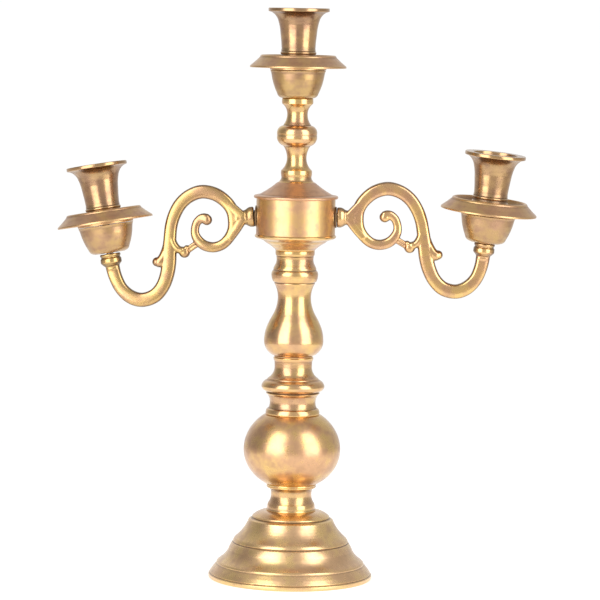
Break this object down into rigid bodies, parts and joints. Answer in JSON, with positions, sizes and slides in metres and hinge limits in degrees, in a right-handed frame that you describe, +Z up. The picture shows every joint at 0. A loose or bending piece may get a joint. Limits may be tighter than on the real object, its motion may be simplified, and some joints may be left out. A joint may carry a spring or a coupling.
{
  "type": "candelabra",
  "caption": "Tabletop brass candelabra: turned column on a stepped round foot, scroll arms that turn on their studs, and flared candle sockets over drip pans.",
  "frame": {"origin": "centre of the foot's rim, on the table", "axes": "+X towards the right arm as seen from the front, +Z up the column, the front faces -Y"},
  "size_m": [0.3349, 0.1146, 0.4],
  "materials": {
    "brass": "satin",
    "coppery_brass": "satin",
    "dark_brass": "patina",
    "steel": "plated"
  },
  "bodies": {
    "stand": {"foot_bell": "brass", "foot_washer": "steel", "foot_nut": "steel", "tie_rod": "steel", "foot_collar": "brass", "ball_knop": "brass", "stem_spool": "brass", "stem_vase": "brass", "hub_base": "brass", "hub_nut": "steel", "hub_drum": "brass", "hub_cap": "coppery_brass", "upper_stem": "brass", "top_bowl": "brass", "top_drip_pan": "coppery_brass", "top_candle_socket": "coppery_brass", "top_cup_screw": "steel", "left_arm_washer": "dark_brass", "right_arm_washer": "dark_brass"},
    "left_arm_body": {"left_arm": "brass", "left_arm_stud": "dark_brass", "left_arm_nut": "steel", "left_bowl": "brass", "left_drip_pan": "coppery_brass", "left_candle_socket": "coppery_brass", "left_cup_screw": "steel"},
    "right_arm_body": {"right_arm": "brass", "right_arm_stud": "dark_brass", "right_arm_nut": "steel", "right_bowl": "brass", "right_drip_pan": "coppery_brass", "right_candle_socket": "coppery_brass", "right_cup_screw": "steel"}
  },
  "joints": [
    {"name": "right_arm_turn", "type": "hinge", "parent": "stand", "child": "right_arm_body", "pos_m": [0.025, 0, 0.2548], "axis": [1, 0, 0], "range_deg": [-90, 90]},
    {"name": "left_arm_turn", "type": "hinge", "parent": "stand", "child": "left_arm_body", "pos_m": [-0.02494, 0.00174, 0.2548], "axis": [-0.991, 0.0693, -0.1149], "range_deg": [-90, 90]}
  ]
}
